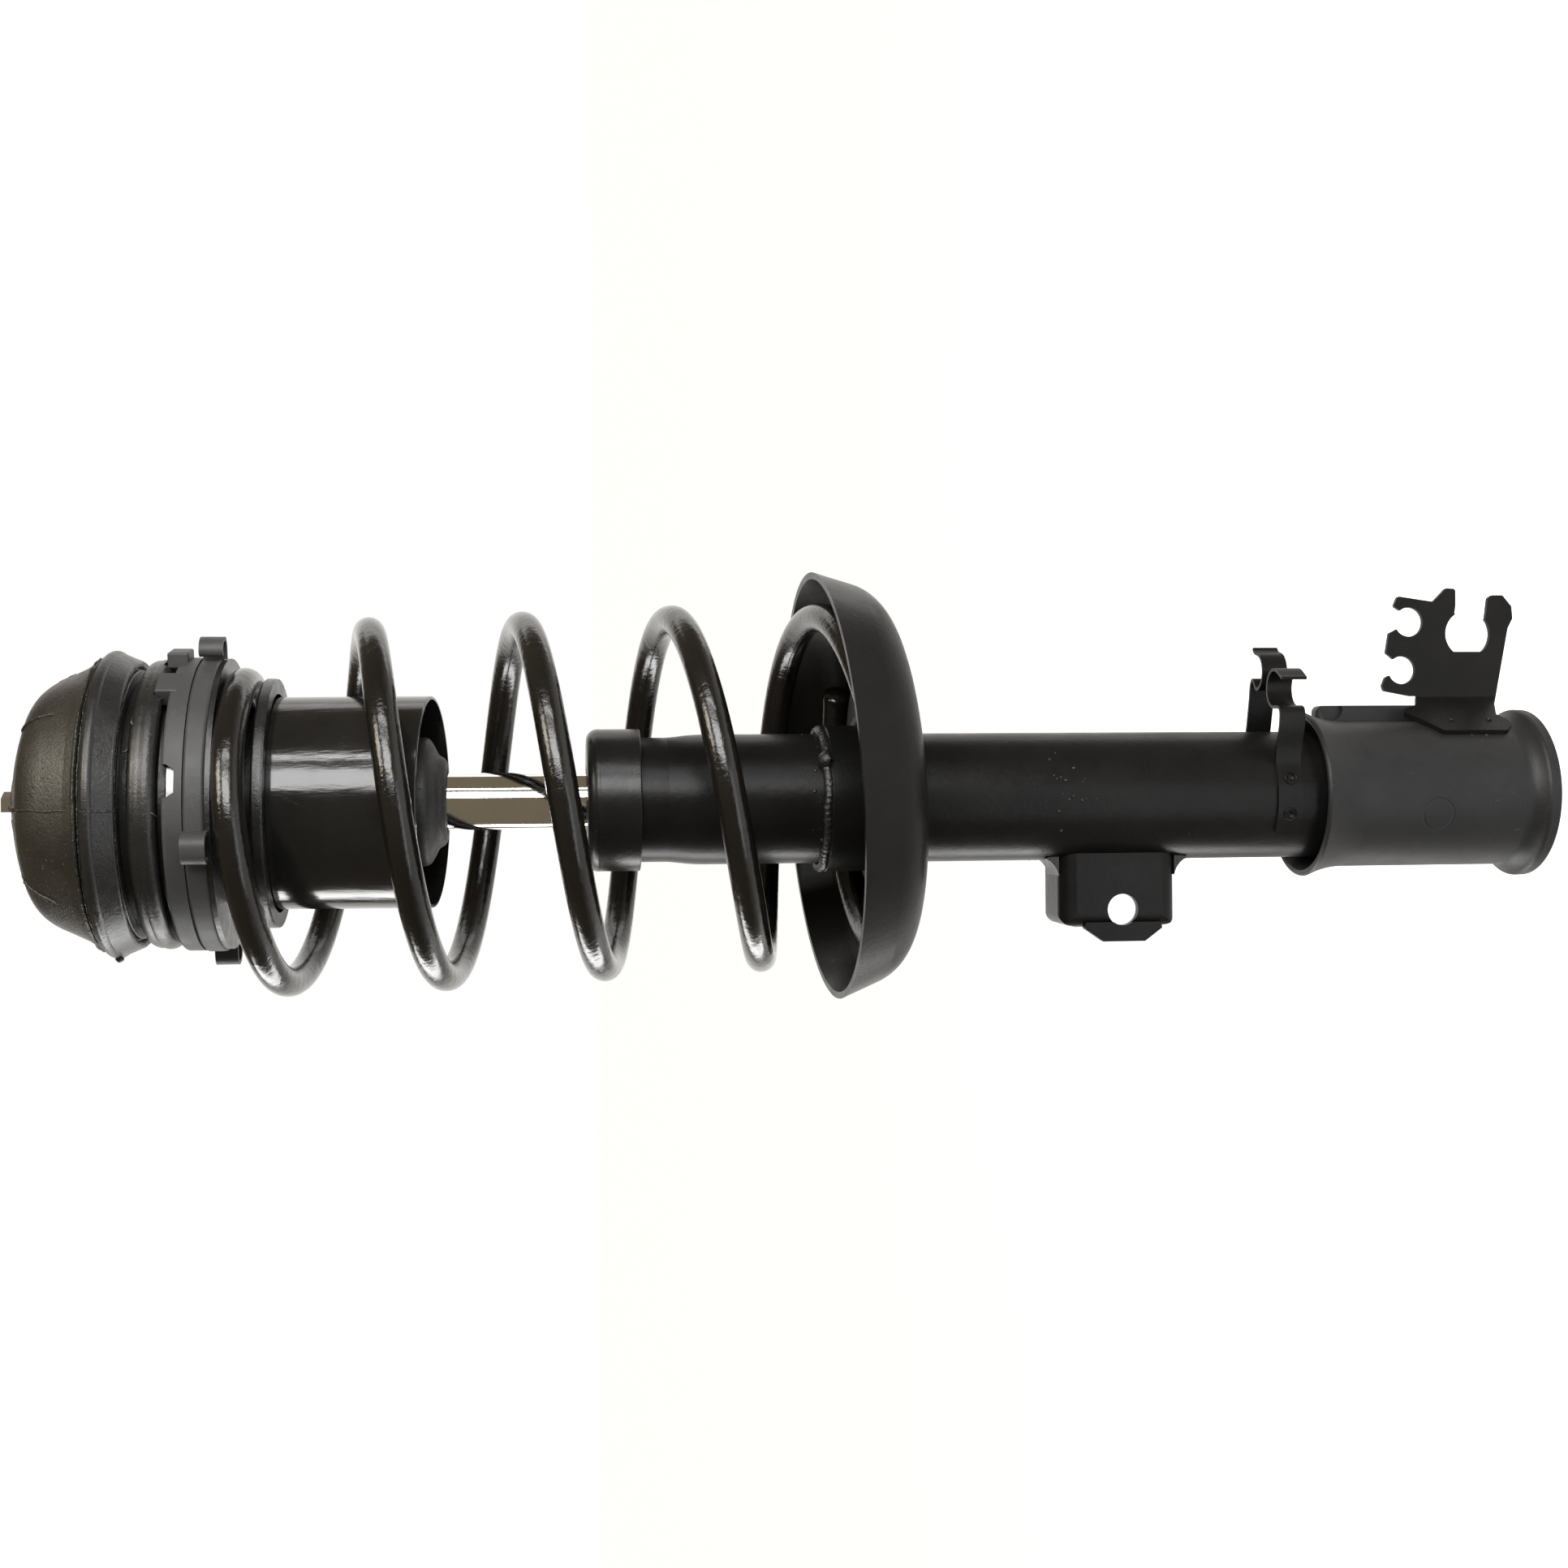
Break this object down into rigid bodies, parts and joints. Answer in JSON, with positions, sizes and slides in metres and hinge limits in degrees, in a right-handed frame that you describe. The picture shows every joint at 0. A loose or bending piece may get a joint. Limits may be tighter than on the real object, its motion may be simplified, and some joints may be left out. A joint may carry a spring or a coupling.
{
  "type": "strut assembly",
  "caption": "MacPherson strut: coil spring between a dished lower seat and a bearing seat, domed rubber top mount, sliding rod, clamp sleeve and brackets.",
  "frame": {"origin": "centre of the strut's lower end, where the clamp sleeve enters the knuckle", "axes": "+Z along the damper to the top mount; +X to the side of the hose bracket; -Y to the side that the link bracket's web faces"},
  "size_m": [0.1678, 0.1678, 0.6021],
  "materials": {
    "tube_paint": "satin black paint",
    "sleeve_paint": "matte dark grey electro-coat",
    "coil_paint": "gloss black powder coat",
    "weld_metal": "lumpy bead under black paint",
    "cap_plastic": "satin black",
    "chromed_rod": "hard chrome, polished",
    "bright_steel": "bright turned steel",
    "sintered_steel": "sintered, grey",
    "bronze": "bronze backed bush",
    "yellow_zinc": "yellow zinc plating",
    "dome_rubber": "moulded rubber with a dusty bloom",
    "black_rubber": "moulded black rubber",
    "foam_rubber": "cellular rubber",
    "seat_nylon": "matte dark grey nylon",
    "sleeve_plastic": "semi-gloss black",
    "band_plastic": "low friction band"
  },
  "bodies": {
    "strut_body": {"reserve_tube": "tube_paint", "bottom_cap": "tube_paint", "lower_sleeve": "sleeve_paint", "clamp_rib": "sleeve_paint", "pressure_tube": "bright_steel", "base_valve_body": "sintered_steel", "base_valve_pin": "bright_steel", "rod_guide": "sintered_steel", "rod_guide_bush": "bronze", "rod_seal": "black_rubber", "top_cap": "cap_plastic", "spring_dish": "tube_paint", "dish_collar": "tube_paint", "dish_welds": "weld_metal", "coil_spring": "coil_paint", "link_bracket": "tube_paint", "link_welds": "weld_metal", "clip_near": "tube_paint", "clip_far": "tube_paint", "hose_bracket": "tube_paint"},
    "upper_seat": {"seat_housing": "seat_nylon", "coil_isolator": "black_rubber", "sleeve_carrier": "black_rubber", "dust_sleeve": "sleeve_plastic", "bump_stop": "foam_rubber", "lower_race": "bright_steel", "ball_set": "bright_steel", "ball_cage": "band_plastic"},
    "rod_and_mount": {"piston_rod": "chromed_rod", "piston": "sintered_steel", "piston_band": "band_plastic", "piston_shims": "bright_steel", "piston_nut": "bright_steel", "rebound_stop": "black_rubber", "upper_race": "bright_steel", "bearing_cover": "seat_nylon", "lower_buffer": "black_rubber", "mount_plate": "black_rubber", "mount_flange": "black_rubber", "mount_dome": "dome_rubber", "mount_core": "bright_steel", "mount_collar": "bright_steel", "rod_washer": "yellow_zinc", "rod_nut": "yellow_zinc"}
  },
  "joints": [
    {"name": "damper_stroke", "type": "slide", "parent": "strut_body", "child": "upper_seat", "axis": [0, 0, -1], "range_m": [0, 0.09], "stiffness_N_per_m": 24000, "springref_m": -0.03, "deforming": ["coil_spring", "bump_stop"]},
    {"name": "steering_bearing", "type": "hinge", "parent": "upper_seat", "child": "rod_and_mount", "pos_m": [0, 0, 0.527], "axis": [0, 0, 1], "continuous": true}
  ]
}
